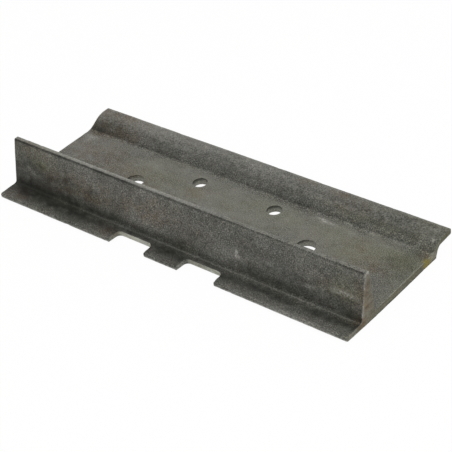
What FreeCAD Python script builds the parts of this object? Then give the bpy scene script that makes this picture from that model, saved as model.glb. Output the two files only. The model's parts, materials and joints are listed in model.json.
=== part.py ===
import FreeCAD, Part
import math
import os

# Single-grouser track shoe for a small excavator, rolled in one piece.
#
# A rolled steel section is cut to length, then notched and punched. The section has a thin
# lip at its leading edge, one tall tapered grouser beside it, a flat plate that bolts to the
# chain's links, and a raised lip at the far edge that laps over the next shoe's leading lip.
#
# Millimetres. +X runs along the shoe, across the machine's track. +Y runs along the track,
# from the leading lip to the overlap lip. +Z points from the link face up to the crest.
# The origin is the middle of the shoe's outline, on the link face.

# --- Driving dimensions -----------------------------------------------------------------

shoe_length = 450.0              # across the track
plate_thickness = 8.0

lip_reach = 24.0                 # leading lip, from its tip to the grouser's near foot
lip_step = 0.8                   # the lip's top lies this far below the plate's top
lip_tip_thickness = 4.9
lip_rise = 1.9                   # the lip's underside climbs this far above the link face
lip_bend_inset = 22.0            # where that climb starts, beyond the near foot
lip_bend_radius = 60.0
lip_nose_radius = 2.2
lip_heel_radius = 1.5

grouser_height = 48.8            # above the plate's top
crest_width = 5.5
crest_radius = 1.2
near_face_lean = 11.8            # degrees from upright
far_face_lean = 5.9              # degrees from upright
near_foot_radius = 3.0
far_foot_radius = 4.0

plate_reach = 123.0              # link face, from the near foot to the recess
recess_lean = 15.0               # degrees from upright
recess_height = 11.2             # link face to the overlap lip's root
recess_root_radius = 11.0
recess_edge_radius = 0.8

overlap_reach = 27.0             # overlap lip, from the recess to its tip
overlap_rise = 10.7              # top of the overlap lip above the plate's top
overlap_tip_thickness = 6.3
overlap_tip_radius = 1.5
ramp_angle = 31.0                # degrees from level
ramp_run = 33.0                  # the ramp's foot to the overlap lip's tip
ramp_foot_radius = 18.0
ramp_brow_radius = 40.0

notch_width = 46.4               # clearance for the chain's links
notch_spacing = 90.0
notch_depth = 16.2
notch_corner_radius = 5.5
notch_mouth_radius = 2.0

near_hole_radius = 10.5
near_hole_spacing = 225.0
near_hole_inset = 66.2           # from the near foot
far_hole_radius = 8.05
far_hole_spacing = 98.0
far_hole_inset = 98.7            # from the near foot

cut_clearance = 5.0              # how far every cutter runs past the metal

# --- Derived places ---------------------------------------------------------------------

shoe_depth = lip_reach + plate_reach + overlap_reach
lip_tip_y = -shoe_depth / 2
near_foot_y = lip_tip_y + lip_reach
recess_y = near_foot_y + plate_reach
overlap_tip_y = shoe_depth / 2
near_row_y = near_foot_y + near_hole_inset
far_row_y = near_foot_y + far_hole_inset

lip_top_z = plate_thickness - lip_step
crest_z = plate_thickness + grouser_height
overlap_top_z = plate_thickness + overlap_rise


def tan(degrees):
    """Tangent of an angle in degrees."""
    return math.tan(math.radians(degrees))


def rounded_outline(corners):
    """Close a run of corners, each a point and a radius, into a wire of lines and arcs.

    Each arc is tangent to the two sides that it joins. A radius that its sides have no room
    for is taken down to what they leave.
    """
    side_share = 0.48
    points = [point for point, radius in corners]
    starts = []
    ends = []
    middles = []
    for index, (point, radius) in enumerate(corners):
        to_last = points[index - 1] - point
        to_next = points[(index + 1) % len(points)] - point
        half_angle = to_last.getAngle(to_next) / 2
        room = side_share * min(to_last.Length, to_next.Length)
        setback = min(radius / math.tan(half_angle), room)
        fitted_radius = setback * math.tan(half_angle)
        to_last.normalize()
        to_next.normalize()
        bisector = (to_last + to_next).normalize()
        starts.append(point + to_last * setback)
        ends.append(point + to_next * setback)
        middles.append(point + bisector * (fitted_radius / math.sin(half_angle) - fitted_radius))
    edges = []
    for index, (point, radius) in enumerate(corners):
        if radius > 0:
            edges.append(Part.Arc(starts[index], middles[index], ends[index]).toShape())
        following = starts[(index + 1) % len(corners)]
        edges.append(Part.LineSegment(ends[index], following).toShape())
    return Part.Wire(edges)


def section_corner(y, z, radius):
    """A corner of the rolled section, in the plane of the shoe's left end."""
    return FreeCAD.Vector(-shoe_length / 2, y, z), radius


def rolled_section():
    """The section, from the link face round by the leading lip, grouser and overlap lip."""
    crest_near_y = near_foot_y + (crest_z - lip_top_z) * tan(near_face_lean)
    crest_far_y = crest_near_y + crest_width
    far_foot_y = crest_far_y + grouser_height * tan(far_face_lean)
    ramp_foot_y = overlap_tip_y - ramp_run
    ramp_brow_y = ramp_foot_y + overlap_rise / tan(ramp_angle)
    recess_root_y = recess_y + recess_height * tan(recess_lean)
    corners = [
        section_corner(near_foot_y + lip_bend_inset, 0, lip_bend_radius),
        section_corner(lip_tip_y, lip_rise, lip_heel_radius),
        section_corner(lip_tip_y, lip_rise + lip_tip_thickness, lip_nose_radius),
        section_corner(near_foot_y, lip_top_z, near_foot_radius),
        section_corner(crest_near_y, crest_z, crest_radius),
        section_corner(crest_far_y, crest_z, crest_radius),
        section_corner(far_foot_y, plate_thickness, far_foot_radius),
        section_corner(ramp_foot_y, plate_thickness, ramp_foot_radius),
        section_corner(ramp_brow_y, overlap_top_z, ramp_brow_radius),
        section_corner(overlap_tip_y, overlap_top_z, overlap_tip_radius),
        section_corner(overlap_tip_y, overlap_top_z - overlap_tip_thickness, overlap_tip_radius),
        section_corner(recess_root_y, recess_height, recess_root_radius),
        section_corner(recess_y, 0, recess_edge_radius),
    ]
    return Part.Face(rounded_outline(corners))


def link_notch(centre_x):
    """Cutter for one notch in the leading lip, with rounded inner corners and mouth."""
    left_x = centre_x - notch_width / 2
    right_x = centre_x + notch_width / 2
    floor_y = lip_tip_y + notch_depth
    flare = notch_mouth_radius + cut_clearance

    def plan_corner(x, y, radius):
        return FreeCAD.Vector(x, y, -cut_clearance), radius

    outline = rounded_outline([
        plan_corner(left_x - flare, lip_tip_y - cut_clearance, 0),
        plan_corner(left_x - flare, lip_tip_y, 0),
        plan_corner(left_x, lip_tip_y, notch_mouth_radius),
        plan_corner(left_x, floor_y, notch_corner_radius),
        plan_corner(right_x, floor_y, notch_corner_radius),
        plan_corner(right_x, lip_tip_y, notch_mouth_radius),
        plan_corner(right_x + flare, lip_tip_y, 0),
        plan_corner(right_x + flare, lip_tip_y - cut_clearance, 0),
    ])
    return Part.Face(outline).extrude(FreeCAD.Vector(0, 0, plate_thickness + 2 * cut_clearance))


def bolt_hole(x, y, radius):
    """Cutter for one punched bolt hole through the plate."""
    foot = FreeCAD.Vector(x, y, -cut_clearance)
    return Part.makeCylinder(radius, plate_thickness + 2 * cut_clearance, foot)


def track_shoe():
    """The whole shoe: the section run to length, less its notches and bolt holes."""
    bar = rolled_section().extrude(FreeCAD.Vector(shoe_length, 0, 0))
    cutters = []
    for side in (-1, 1):
        cutters.append(link_notch(side * notch_spacing / 2))
        cutters.append(bolt_hole(side * near_hole_spacing / 2, near_row_y, near_hole_radius))
        cutters.append(bolt_hole(side * far_hole_spacing / 2, far_row_y, far_hole_radius))
    return bar.cut(cutters)


os.makedirs("parts", exist_ok=True)
shoe = track_shoe()
shoe.Solids[0].exportStep("parts/track_shoe.step")
print("solids", len(shoe.Solids), "valid", shoe.isValid(), "volume", round(shoe.Volume), "mm3")
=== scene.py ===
"""Dress the rolled steel track shoe: its section, link notches, bolt holes and hot-rolled finish.

Metres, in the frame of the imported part. +X runs along the shoe, +Y from the notched leading lip
to the overlap lip, and +Z from the link face up to the grouser's crest.
"""
import json
import logging
import math
from dataclasses import dataclass, field
from enum import Enum
from functools import cached_property
from typing import NamedTuple

import bmesh
import bpy
import numpy as np
from mathutils import Matrix, Vector


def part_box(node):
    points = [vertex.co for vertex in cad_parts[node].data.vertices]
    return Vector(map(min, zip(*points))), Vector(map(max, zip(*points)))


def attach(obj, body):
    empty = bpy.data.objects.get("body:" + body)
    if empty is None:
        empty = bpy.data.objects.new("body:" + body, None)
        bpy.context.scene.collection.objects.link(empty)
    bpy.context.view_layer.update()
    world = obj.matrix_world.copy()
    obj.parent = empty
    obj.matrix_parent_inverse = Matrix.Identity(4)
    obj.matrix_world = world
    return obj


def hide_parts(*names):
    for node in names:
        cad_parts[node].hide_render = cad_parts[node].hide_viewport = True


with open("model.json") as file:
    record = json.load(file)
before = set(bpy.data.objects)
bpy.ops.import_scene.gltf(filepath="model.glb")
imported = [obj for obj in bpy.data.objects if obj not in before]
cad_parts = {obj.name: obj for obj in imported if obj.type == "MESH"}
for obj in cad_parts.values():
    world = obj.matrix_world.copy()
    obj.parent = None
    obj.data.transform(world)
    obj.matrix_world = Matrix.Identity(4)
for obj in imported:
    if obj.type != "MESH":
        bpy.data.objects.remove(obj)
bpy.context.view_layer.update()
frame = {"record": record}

LOG = logging.getLogger("track_shoe")
MM = 0.001
Mesh = bpy.types.Mesh
Socket = bpy.types.NodeSocket
Triple = tuple[float, float, float]
Stops = tuple[tuple[float, float], ...]


class Zone(Enum):
    """Named point attributes that tell the finish what each part of the surface went through, and
    where it paints shade and a highlight.
    """

    # Scale's thickness, with painted shade and light among its patches.
    SCALE_AND_SHADE = "mill_scale"
    WEAR = "edge_wear"
    SHEARED = "sheared_face"
    SAWN = "sawn_end"
    # Painted shade on the holes' walls, where they lie in shadow.
    BORE_SHADE = "bore"
    RUST = "rust_bloom"
    OLIVE = "olive_film"
    PAINT = "paint_spot"
    # Painted highlight: a light line along the rolls' seam ridge.
    SEAM_HIGHLIGHT = "roll_seam"


# What each point of the shell knows of its place: length round the section in metres, how
# freshly sheared or sawn it is, how much painted shade darkens a bore's wall where it lies in
# shadow, and how worn the nose and the ends' edges are.
GIRTH = "girth"
SHELL_VALUES = (GIRTH, Zone.SHEARED.value, Zone.SAWN.value, Zone.BORE_SHADE.value, Zone.WEAR.value)


# --- Curves ------------------------------------------------------------------------------


@dataclass
class Profile:
    """One face of the section as a curve over its own length.

    The curve is a run of straight sides joined by tangent arcs, held as closely spaced points.
    """

    corners: list[Triple]
    side_share: float = 0.48
    arc_points: int = 25
    pitch: float = 0.05 * MM
    length: np.ndarray = field(init=False)
    points: np.ndarray = field(init=False)
    turning: np.ndarray = field(init=False)

    def __post_init__(self) -> None:
        """Work out the points and the turn made up to each of them."""
        outline = self._outline()
        along = np.concatenate([[0.0], np.cumsum(np.hypot(*np.diff(outline, axis=0).T))])
        self.length = np.arange(0.0, along[-1], self.pitch)
        self.length = np.append(self.length, along[-1])
        self.points = np.stack([np.interp(self.length, along, side) for side in outline.T], 1)
        heading = np.unwrap(np.arctan2(*np.gradient(self.points, axis=0).T[::-1]))
        self.turning = np.concatenate([[0.0], np.cumsum(np.abs(np.diff(heading)))])

    def _outline(self) -> np.ndarray:
        """Corner points, with each inner corner replaced by its tangent arc.

        An arc starts and ends one setback from its corner. The setback is the radius times
        the tangent of half the turn, but at most side_share of the shorter side.

        Returns:
            Points of shape (n, 2), as y and z.
        """
        places = np.array([(y, z) for y, z, _ in self.corners])
        runs = [places[:1]]
        for index in range(1, len(places) - 1):
            back = places[index - 1] - places[index]
            ahead = places[index + 1] - places[index]
            room = self.side_share * min(np.hypot(*back), np.hypot(*ahead))
            back, ahead = back / np.hypot(*back), ahead / np.hypot(*ahead)
            half = math.acos(np.clip(back @ ahead, -1, 1)) / 2
            setback = min(self.corners[index][2] / math.tan(half), room)
            radius = setback * math.tan(half)
            bisector = (back + ahead) / np.hypot(*(back + ahead))
            centre = places[index] + bisector * radius / math.sin(half)
            swing = np.linspace(-1, 1, self.arc_points) * (math.pi / 2 - half)
            across = np.array([-bisector[1], bisector[0]])
            across = across * np.sign(across @ (ahead - back))
            runs.append(centre - radius * np.outer(np.cos(swing), bisector)
                        + radius * np.outer(np.sin(swing), across))
        runs.append(places[-1:])
        return np.concatenate(runs)

    def at(self, length: np.ndarray) -> tuple[np.ndarray, np.ndarray]:
        """Y and Z at each length along the curve."""
        return tuple(np.interp(length, self.length, side) for side in self.points.T)

    def length_at(self, y: np.ndarray) -> np.ndarray:
        """Length along the curve where it crosses each y, which only grows along it."""
        return np.interp(y, self.points[:, 0], self.length)

    def stations(self, start: float, end: float, count: int, turn_length: float) -> np.ndarray:
        """Lengths from start to end, closer together where the curve turns.

        Equal steps of (length + turn_length times the angle turned).

        Args:
            start: Length at the first station.
            end: Length at the last station.
            count: Number of steps between them.
            turn_length: Length that one radian of turning counts for.

        Returns:
            count + 1 lengths.
        """
        effort = self.length + turn_length * self.turning
        first, last = np.interp([start, end], self.length, effort)
        return np.interp(np.linspace(first, last, count + 1), effort, self.length)


def graded(stops: list[float], coarse: float, fine: float, growth: float,
           sharp: list[float]) -> np.ndarray:
    """Places from the first stop to the last that meet each stop and crowd near the sharp ones.

    The local step is fine plus growth times the distance to the nearest sharp place, up to
    coarse. Each stretch between stops gets the whole number of steps that this asks for.

    Args:
        stops: Places that are met exactly, in order.
        coarse: Largest step.
        fine: Step at a sharp place.
        growth: How fast the step grows away from one.
        sharp: Places to crowd near.

    Returns:
        The places, in order.
    """
    places = [np.array(stops[:1])]
    for low, high in zip(stops, stops[1:]):
        run = np.linspace(low, high, 400)
        gap = np.abs(run[:, None] - np.array(sharp)[None, :]).min(axis=1)
        rate = 1 / np.minimum(coarse, fine + growth * gap)
        steps = np.concatenate([[0.0], np.cumsum((rate[1:] + rate[:-1]) / 2 * np.diff(run))])
        count = max(1, math.ceil(steps[-1] - 1e-6))
        places.append(np.interp(np.linspace(0, steps[-1], count + 1)[1:], steps, run))
    return np.concatenate(places)


def smooth(value: np.ndarray) -> np.ndarray:
    """Ease from 0 to 1 with level ends: three squares less two cubes."""
    value = np.clip(value, 0, 1)
    return value * value * (3 - 2 * value)


def wave_field(points: np.ndarray, shortest: float, longest: float, seed: int,
               stretch: Triple = (1, 1, 1), waves: int = 48) -> np.ndarray:
    """Seeded smooth noise: a sum of plane waves of random heading, length and phase.

    Args:
        points: Places, shape (n, 3).
        shortest: Shortest wavelength.
        longest: Longest wavelength.
        seed: Seed of the random draws.
        stretch: How much longer the pattern is along each axis.
        waves: Number of waves.

    Returns:
        One value a place, with a spread of about 1.
    """
    draw = np.random.default_rng(seed)
    heading = draw.normal(size=(3, waves))
    heading /= np.linalg.norm(heading, axis=0)
    number = 2 * math.pi / np.exp(draw.uniform(math.log(shortest), math.log(longest), waves))
    phase = draw.uniform(0, 2 * math.pi, waves)
    swing = (points / np.array(stretch)) @ (heading * number) + phase
    return np.sin(swing).sum(axis=1) * math.sqrt(2 / waves)


def coons(low: np.ndarray, high: np.ndarray, left: np.ndarray, right: np.ndarray) -> np.ndarray:
    """Patch between four curves: the two rulings added, less the corners' bilinear blend.

    Args:
        low: Curve at the start of the second direction, shape (m, 3).
        high: Curve at its end, shape (m, 3).
        left: Curve at the start of the first direction, shape (n, 3).
        right: Curve at its end, shape (n, 3).

    Returns:
        Grid of shape (m, n, 3).
    """
    u = np.linspace(0, 1, len(low))[:, None, None]
    v = np.linspace(0, 1, len(left))[None, :, None]
    ruled = (1 - v) * low[:, None] + v * high[:, None] + (1 - u) * left[None] + u * right[None]
    blend = ((1 - u) * ((1 - v) * low[0] + v * high[0]) + u * ((1 - v) * low[-1] + v * high[-1]))
    return ruled - blend


def relaxed(shift: np.ndarray, held: np.ndarray, rounds: int = 500) -> np.ndarray:
    """Spread a shift over a grid: each free point takes the mean of its four neighbours."""
    start = shift.copy()
    for _ in range(rounds):
        wide = np.pad(shift, 1, mode="edge")
        mean = (wide[:-2, 1:-1] + wide[2:, 1:-1] + wide[1:-1, :-2] + wide[1:-1, 2:]) / 4
        shift = np.where(held, start, mean)
    return shift


# --- Mesh --------------------------------------------------------------------------------


class Shell:
    """Grids of points and their quads, gathered into one closed mesh."""

    def __init__(self) -> None:
        """Start with no points."""
        self.points: list[np.ndarray] = []
        self.values: dict[str, list[np.ndarray]] = {name: [] for name in SHELL_VALUES}
        self.quads: list[np.ndarray] = []
        self.count = 0

    def add(self, grid: np.ndarray, kept: np.ndarray | None = None,
            **values: np.ndarray | float) -> None:
        """Add a grid's points and the quads between them.

        Args:
            grid: Points of shape (m, n, 3).
            kept: Which of the (m - 1, n - 1) quads to keep, or None for all.
            values: Any of SHELL_VALUES, one value a point or one that spreads to them.
        """
        m, n = grid.shape[:2]
        index = self.count + np.arange(m * n).reshape(m, n)
        quads = np.stack([index[:-1, :-1], index[1:, :-1], index[1:, 1:], index[:-1, 1:]], -1)
        self.quads.append(quads.reshape(-1, 4) if kept is None else quads[kept])
        self.points.append(grid.reshape(-1, 3))
        for name, runs in self.values.items():
            runs.append(np.broadcast_to(values.get(name, 0.0), (m, n)).ravel())
        self.count += m * n

    def mesh(self, name: str, weld: float = 0.01 * MM) -> Mesh:
        """Join the grids where they meet and turn every face outwards.

        Args:
            name: Name of the mesh.
            weld: Distance within which two points are one.

        Returns:
            The closed mesh, with smooth shading.
        """
        mesh = bpy.data.meshes.new(name)
        points = np.concatenate(self.points)
        mesh.from_pydata(points.tolist(), [], np.concatenate(self.quads).tolist())
        for value_name, runs in self.values.items():
            write_values(mesh, value_name, np.concatenate(runs))
        joined = bmesh.new()
        joined.from_mesh(mesh)
        bmesh.ops.remove_doubles(joined, verts=joined.verts, dist=weld)
        loose = [vert for vert in joined.verts if not vert.link_faces]
        bmesh.ops.delete(joined, geom=loose, context="VERTS")
        bmesh.ops.recalc_face_normals(joined, faces=joined.faces)
        open_edges = sum(len(edge.link_faces) != 2 for edge in joined.edges)
        LOG.info("%s: %d edges without two faces", name, open_edges)
        joined.to_mesh(mesh)
        joined.free()
        mesh.shade_smooth()
        return mesh


def write_values(mesh: Mesh, name: str, values: np.ndarray) -> None:
    """Keep one value a point in a named attribute, made if it isn't there."""
    layer = mesh.attributes.get(name) or mesh.attributes.new(name, "FLOAT", "POINT")
    layer.data.foreach_set("value", values.astype(np.float32))


def read_values(mesh: Mesh, name: str) -> np.ndarray:
    """The values of a named attribute, one a point."""
    values = np.empty(len(mesh.vertices), dtype=np.float32)
    mesh.attributes[name].data.foreach_get("value", values)
    return values.astype(float)


def read_points(mesh: Mesh) -> np.ndarray:
    """The mesh's points, shape (n, 3)."""
    flat = np.empty(len(mesh.vertices) * 3)
    mesh.vertices.foreach_get("co", flat)
    return flat.reshape(-1, 3)


def read_normals(mesh: Mesh) -> np.ndarray:
    """The mesh's normals at its points, shape (n, 3)."""
    flat = np.empty(len(mesh.vertices) * 3, dtype=np.float32)
    mesh.vertex_normals.foreach_get("vector", flat)
    return flat.reshape(-1, 3).astype(float)


def neighbour_mean(mesh: Mesh, values: np.ndarray) -> np.ndarray:
    """Mean of each point's neighbours along the mesh's edges, for values of shape (n, k)."""
    ends = np.empty(len(mesh.edges) * 2, dtype=np.int64)
    mesh.edges.foreach_get("vertices", ends)
    one, other = ends.reshape(-1, 2).T
    both, across = np.concatenate([one, other]), np.concatenate([other, one])
    number = np.bincount(both, minlength=len(values))[:, None]
    total = [np.bincount(both, column[across], minlength=len(values)) for column in values.T]
    return np.stack(total, 1) / np.maximum(number, 1)


@dataclass
class RimProfile:
    """Cross-section of a plate's rim: a quarter round, a straight drop and a quarter round."""

    round_steps: int = 4
    drop_steps: int = 3
    flare_start: float = 0.45

    @property
    def steps(self) -> int:
        """Steps from the upper sheet to the lower one."""
        return 2 * self.round_steps + self.drop_steps

    def openness(self) -> np.ndarray:
        """How far each step has turned from the sheets: 0 on them, 1 on the drop between."""
        turn = smooth(np.linspace(0, 1, self.round_steps + 1))
        return np.concatenate([turn, np.ones(self.drop_steps - 1), turn[::-1]])

    def carried(self, edge: np.ndarray, outward: np.ndarray, upper: np.ndarray,
                lower: np.ndarray, top: np.ndarray, bottom: np.ndarray,
                flare: float = 0.0) -> np.ndarray:
        """Carry the profile along a path in plan.

        In plan a point lies inside the edge by (1 - sine) of its angle times its radius, and
        in height by (1 - cosine) times it from the upper or lower sheet.

        Args:
            edge: Outline in plan, shape (n, 2).
            outward: Unit directions from the metal into the open, shape (n, 2).
            upper: Radius of the upper round at each point.
            lower: Radius of the lower round at each point.
            top: Height of the upper sheet at each point.
            bottom: Height of the lower sheet at each point.
            flare: How far the lower part draws back into the metal.

        Returns:
            Grid of shape (n, steps + 1, 3).
        """
        turn = np.linspace(0, math.pi / 2, self.round_steps + 1)
        share = np.linspace(0, 1, self.drop_steps + 1)[1:-1]
        inset_up, drop_up = 1 - np.sin(turn), 1 - np.cos(turn)
        height = np.concatenate([
            top[:, None] - upper[:, None] * drop_up,
            (top - upper)[:, None] * (1 - share) + (bottom + lower)[:, None] * share,
            bottom[:, None] + lower[:, None] * drop_up[::-1],
        ], axis=1)
        inset = np.concatenate([
            upper[:, None] * inset_up,
            np.zeros((len(edge), len(share))),
            lower[:, None] * inset_up[::-1],
        ], axis=1)
        depth = np.linspace(0, 1, self.steps + 1)
        inset = inset + flare * smooth((depth - self.flare_start) / (1 - self.flare_start))
        plan = edge[:, None] - outward[:, None] * inset[..., None]
        return np.concatenate([plan, height[..., None]], axis=2)


@dataclass
class Path:
    """A rounded path in plan, walked along the same path with sharp corners."""

    points: np.ndarray
    corner_index: list[int]
    corner_radius: list[float]

    def walked(self) -> tuple[np.ndarray, np.ndarray]:
        """Round each right-angled corner by an arc.

        Within one radius of a corner, the distance still to go before it, or gone past it,
        turns evenly into the arc's angle.

        Returns:
            Places in plan and the unit directions to the right of travel, both (n, 2).
        """
        step = np.diff(self.points, axis=0)
        walked = np.concatenate([[0.0], np.cumsum(np.abs(step).sum(axis=1))])
        heading = step / np.abs(step).sum(axis=1)[:, None]
        place = self.points.copy()
        travel = np.concatenate([heading[:1], heading])
        for index, radius in zip(self.corner_index, self.corner_radius):
            before, after = heading[index - 1], heading[index]
            reach = (walked - walked[index]) / radius
            near = np.abs(reach) <= 1
            angle = (math.pi / 4 * (1 + reach[near]))[:, None]
            centre = self.points[index] + radius * (after - before)
            place[near] = centre + radius * (before * np.sin(angle) - after * np.cos(angle))
            travel[near] = before * np.cos(angle) + after * np.sin(angle)
        return place, np.stack([travel[:, 1], -travel[:, 0]], 1)


# --- The shoe ----------------------------------------------------------------------------


@dataclass
class RolledSection:
    """Sizes of the rolled section, and its two faces as curves."""

    plate_thickness: float = 8.0 * MM
    lip_reach: float = 24.0 * MM
    lip_step: float = 0.8 * MM
    lip_tip_thickness: float = 4.9 * MM
    lip_rise: float = 1.9 * MM
    lip_bend_inset: float = 22.0 * MM
    lip_bend_radius: float = 60.0 * MM
    lip_nose_radius: float = 2.2 * MM
    lip_heel_radius: float = 1.5 * MM
    crest_width: float = 5.5 * MM
    crest_radius: float = 1.2 * MM
    near_face_lean: float = 11.8
    far_face_lean: float = 5.9
    near_foot_radius: float = 3.0 * MM
    far_foot_radius: float = 4.0 * MM
    recess_lean: float = 15.0
    recess_height: float = 11.2 * MM
    recess_root_radius: float = 11.0 * MM
    recess_edge_radius: float = 0.8 * MM
    overlap_reach: float = 27.0 * MM
    overlap_rise: float = 10.7 * MM
    overlap_tip_thickness: float = 6.3 * MM
    overlap_tip_radius: float = 1.5 * MM
    ramp_angle: float = 31.0
    ramp_run: float = 33.0 * MM
    ramp_foot_radius: float = 18.0 * MM
    ramp_brow_radius: float = 40.0 * MM

    def __post_init__(self) -> None:
        """Work out the section's places from the node's box."""
        low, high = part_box("track_shoe")
        self.tip_y, self.far_y, self.crest_z = low[1], high[1], high[2]
        self.near_foot_y = self.tip_y + self.lip_reach
        self.recess_y = self.far_y - self.overlap_reach
        self.lip_top_z = self.plate_thickness - self.lip_step
        rise = self.crest_z - self.lip_top_z
        self.crest_near_y = self.near_foot_y + rise * math.tan(math.radians(self.near_face_lean))
        self.crest_far_y = self.crest_near_y + self.crest_width
        fall = self.crest_z - self.plate_thickness
        self.far_foot_y = self.crest_far_y + fall * math.tan(math.radians(self.far_face_lean))
        self.overlap_z = self.plate_thickness + self.overlap_rise
        self.ramp_foot_y = self.far_y - self.ramp_run
        run = self.overlap_rise / math.tan(math.radians(self.ramp_angle))
        self.ramp_brow_y = self.ramp_foot_y + run

    def upper(self) -> Profile:
        """The face with the grouser, from the lip's nose to the overlap lip's tip."""
        return Profile([
            (self.tip_y, self.lip_rise + self.lip_tip_thickness, 0),
            (self.near_foot_y, self.lip_top_z, self.near_foot_radius),
            (self.crest_near_y, self.crest_z, self.crest_radius),
            (self.crest_far_y, self.crest_z, self.crest_radius),
            (self.far_foot_y, self.plate_thickness, self.far_foot_radius),
            (self.ramp_foot_y, self.plate_thickness, self.ramp_foot_radius),
            (self.ramp_brow_y, self.overlap_z, self.ramp_brow_radius),
            (self.far_y, self.overlap_z, 0),
        ])

    def lower(self) -> Profile:
        """The link face, from the lip's heel to the overlap lip's tip."""
        lean = self.recess_height * math.tan(math.radians(self.recess_lean))
        return Profile([
            (self.tip_y, self.lip_rise, 0),
            (self.near_foot_y + self.lip_bend_inset, 0, self.lip_bend_radius),
            (self.recess_y, 0, self.recess_edge_radius),
            (self.recess_y + lean, self.recess_height, self.recess_root_radius),
            (self.far_y, self.overlap_z - self.overlap_tip_thickness, 0),
        ])


@dataclass
class LinkNotches:
    """The two notches that are cut into the leading lip for the chain's links."""

    width: float = 46.4 * MM
    spacing: float = 90.0 * MM
    depth: float = 16.2 * MM
    corner_radius: float = 5.5 * MM
    left_mouth_radius: float = 0.9 * MM
    right_mouth_radius: float = 2.0 * MM
    rim_radius: float = 0.45 * MM

    def walls(self) -> list[float]:
        """X of the four walls, from left to right."""
        return [side * self.spacing / 2 + half * self.width / 2
                for side in (-1, 1) for half in (-1, 1)]

    def mouths(self) -> list[float]:
        """Radius at the mouth of each of the four walls."""
        return [self.left_mouth_radius, self.right_mouth_radius] * 2


@dataclass
class BoltHole:
    """One punched hole through the plate.

    break_out is how much wider the bore ends than it starts, and bore_scale is the strength of
    the painted shade in its upper part, which stands for the wall in shadow. dark_share and
    dark_slant are how deep that painted shade goes and how much deeper at the hole's left, as
    shares of the bore, and dark_slant also thins it at the right, where more light falls.
    brightness is how light the steel is below it, and dark_fade how sharply the shade ends.
    """

    x: float
    y: float
    radius: float
    break_out: float
    bore_scale: float
    dark_share: float
    dark_slant: float
    rim_radius: float = 0.22 * MM
    block_share: float = 0.88
    brightness: float = 0.34
    dark_fade: float = 5.0

    def block(self, x: np.ndarray, y: np.ndarray) -> tuple[int, int, int, int]:
        """First and last column and row of the square of cells that the hole replaces."""
        half = self.block_share * self.radius
        columns = [int(np.abs(x - self.x - side * half).argmin()) for side in (-1, 1)]
        rows = [int(np.abs(y - self.y - side * half).argmin()) for side in (-1, 1)]
        return columns[0], columns[1], rows[0], rows[1]


# How each row of holes was punched, and how strong the painted shade in their bores is.
PUNCHED = {
    "far_row_bolts": {"break_out": 0.0, "bore_scale": 0.92, "dark_share": 0.43,
                      "dark_slant": 0.05},
    "near_row_bolts": {"break_out": 0.35 * MM, "bore_scale": 0.80, "dark_share": 0.38,
                       "dark_slant": 0.12},
}


def punched_holes(record: dict) -> list[BoltHole]:
    """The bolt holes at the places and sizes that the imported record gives."""
    holes = []
    for mount in record["mounts"]:
        if mount["name"] in PUNCHED:
            spacing, radius = (mount["dims"][key] * MM for key in ("spacing_x_mm", "hole_r_mm"))
            holes += [BoltHole(side * spacing / 2, mount["pos_m"][1], radius,
                               **PUNCHED[mount["name"]]) for side in (-1, 1)]
    return holes


class NoseRim(NamedTuple):
    """The leading edge: grid indexes, outline, outward directions and the rounds' radii."""

    row: np.ndarray
    column: np.ndarray
    edge: np.ndarray
    outward: np.ndarray
    upper: np.ndarray
    lower: np.ndarray


class BoreRim(NamedTuple):
    """The edge of one hole, as a closed loop: grid indexes, circle and directions inwards."""

    hole: BoltHole
    row: np.ndarray
    column: np.ndarray
    ring: np.ndarray
    inward: np.ndarray


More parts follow.
